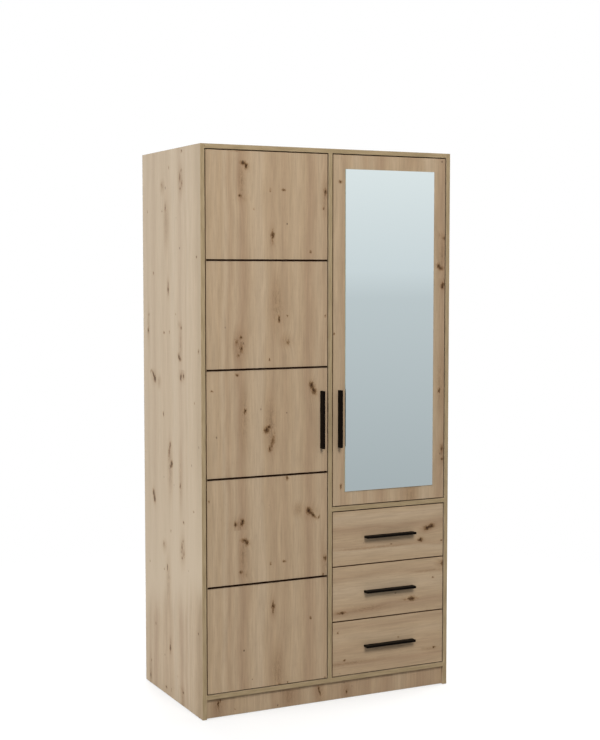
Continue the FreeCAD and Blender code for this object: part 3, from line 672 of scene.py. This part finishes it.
# Runner screws: three flat heads in each channel on the bay's walls, and three under each drawer runner
runner_sheet = 1.2
runner_foot_rise = 2.1
channel_screw_rise = 9.2
channel_screw_from_front = (32.0, 172.0, 372.0)
channel_screw_head = (3.6, 0.6)
foot_screw_from_side = 8.0
foot_screw_from_front = (60.0, 210.0, 390.0)
foot_screw_head = (3.4, 1.2)
runner_low, runner_high = box_mm("cabinet_runners")
runner_front = runner_low[y_axis]
left_wall = runner_low[x_axis] + runner_sheet
right_wall = runner_high[x_axis] - runner_sheet
for level in levels:
    drawer = level + "_drawer"
    foot_low = box_mm(drawer + "_runners")[0]
    foot_front = foot_low[y_axis]
    foot_z = foot_low[z_axis]
    channel_z = foot_z - runner_foot_rise + channel_screw_rise
    for side_name, wall_x, inward in (("left", left_wall, 1), ("right", right_wall, -1)):
        screws = f"{level}_{side_name}_channel_screws"
        seats = [(wall_x, runner_front + y, channel_z) for y in channel_screw_from_front]
        screw_heads(screws, "carcass", seats, (inward, 0, 0), *channel_screw_head)
    side_low, side_high = box_mm(drawer + "_sides")
    feet_x = (side_low[x_axis] + foot_screw_from_side, side_high[x_axis] - foot_screw_from_side)
    seats = [(x, foot_front + y, foot_z) for x in feet_x for y in foot_screw_from_front]
    screw_heads(drawer + "_runner_screws", drawer, seats, (0, 0, -1), *foot_screw_head)

# Rail socket screws: two on each socket's base, above and below its collar
socket_base = 3.0
socket_screw_rise = 18.8
socket_screw_head = (2.6, 1.4)
socket_low, socket_high = box_mm("hanging_rail_sockets")
socket_y = (socket_low + socket_high)[y_axis] / 2
socket_z = (socket_low + socket_high)[z_axis] / 2
left_wall = socket_low[x_axis]
right_wall = socket_high[x_axis]
for side_name, wall_x, inward in (("left", left_wall, 1), ("right", right_wall, -1)):
    base_x = wall_x + inward * socket_base
    seats = [(base_x, socket_y, socket_z + way * socket_screw_rise) for way in (-1, 1)]
    screw_heads(side_name + "_socket_screws", "carcass", seats, (inward, 0, 0), *socket_screw_head)


# White studio: a pale floor that fades out, a white background, soft lamps and a plain sky for reflections
def studio_world():
    """White for the camera and through glass, a pale grey sky in reflections, and an even soft light."""
    world = bpy.data.worlds.new("white_studio")
    world.use_nodes = True
    tree = world.node_tree
    tree.nodes.clear()
    ray = add(tree, "LightPath", output="Is Camera Ray").node.outputs
    seen = add(tree, "Math", {0: ray["Is Camera Ray"], 1: ray["Is Transmission Ray"]}, operation="MAXIMUM")
    direction = add(tree, "TexCoord", output="Generated")
    upward = add(tree, "SeparateXYZ", {0: direction}).node.outputs["Z"]
    height = add(tree, "MapRange", {0: upward, 1: -sky_half_height, 2: sky_half_height})
    sky = add(tree, "ValToRGB", {0: height}, stops=sky_stops)
    soft = [ambient_strength] * 3 + [1.0]
    lit = add(tree, "Mix", {0: ray["Is Glossy Ray"], 1: soft, 2: sky}, data_type="RGBA")
    shown = add(tree, "Mix", {0: seen, 1: lit, 2: white}, data_type="RGBA")
    light = add(tree, "Background", {"Color": shown, "Strength": 1.0})
    add(tree, "OutputWorld", {"Surface": light})
    scene.world = world


def studio_floor():
    """A flat disc of the floor's radius. It shows white with a soft shadow, and fades out towards its rim."""
    turn = np.linspace(0.0, 2 * np.pi, floor_corners, endpoint=False)
    rim = floor_radius * np.stack([np.cos(turn), np.sin(turn), 0 * turn], -1)
    mesh = bpy.data.meshes.new("studio_floor")
    mesh.from_pydata(rim.tolist(), [], [list(range(len(rim)))])
    made, tree = new_material("pale_studio_floor")
    place = add(tree, "TexCoord", output="Object")
    reach = add(tree, "VectorMath", {0: place}, operation="LENGTH")
    fade_span = {0: reach, 1: floor_fade_start, 2: floor_radius}
    fade = add(tree, "MapRange", fade_span, interpolation_type="SMOOTHSTEP")
    seen = add(tree, "LightPath", output="Is Camera Ray")
    tones = {0: seen, 1: colour(floor_bounce_tone), 2: colour(floor_seen_tone)}
    paint = add(tree, "Mix", tones, data_type="RGBA")
    matt = add(tree, "BsdfDiffuse", {"Color": paint})
    glow = add(tree, "Emission", {"Color": white, "Strength": 1.0})
    glow_share = add(tree, "Math", {0: seen, 1: floor_glow_share}, operation="MULTIPLY")
    bright = add(tree, "MixShader", {0: glow_share, 1: matt, 2: glow})
    gone = add(tree, "BsdfTransparent")
    shader = add(tree, "MixShader", {0: fade, 1: bright, 2: gone})
    add(tree, "OutputMaterial", {"Surface": shader})
    mesh.materials.append(made)
    floor = bpy.data.objects.new("studio_floor", mesh)
    scene.collection.objects.link(floor)


def studio_lamp(name, place, width, power, tint):
    """A square area lamp aimed at the wardrobe."""
    data = bpy.data.lights.new(name, "AREA")
    data.energy = power
    data.size = width
    data.color = colour(tint)[:3]
    lamp = bpy.data.objects.new(name, data)
    lamp.location = place
    towards = np.array(aim) - np.array(place)
    flat = math.hypot(towards[0], towards[1])
    lamp.rotation_euler = (math.atan2(flat, -towards[2]), 0, math.atan2(-towards[0], towards[1]))
    lamp.visible_glossy = False
    scene.collection.objects.link(lamp)


studio_world()
studio_floor()
for name, settings in lamps.items():
    studio_lamp(name, *settings)

camera_data = bpy.data.cameras.new("camera")
camera_data.sensor_fit = "VERTICAL"
camera_data.sensor_height = camera_sensor
camera_data.lens = camera_lens
camera = bpy.data.objects.new("camera", camera_data)
camera.location = camera_place
camera.rotation_euler = (math.radians(90 - camera_dip), 0, math.radians(camera_turn))
scene.collection.objects.link(camera)
scene.camera = camera
scene.view_settings.view_transform = "Standard"
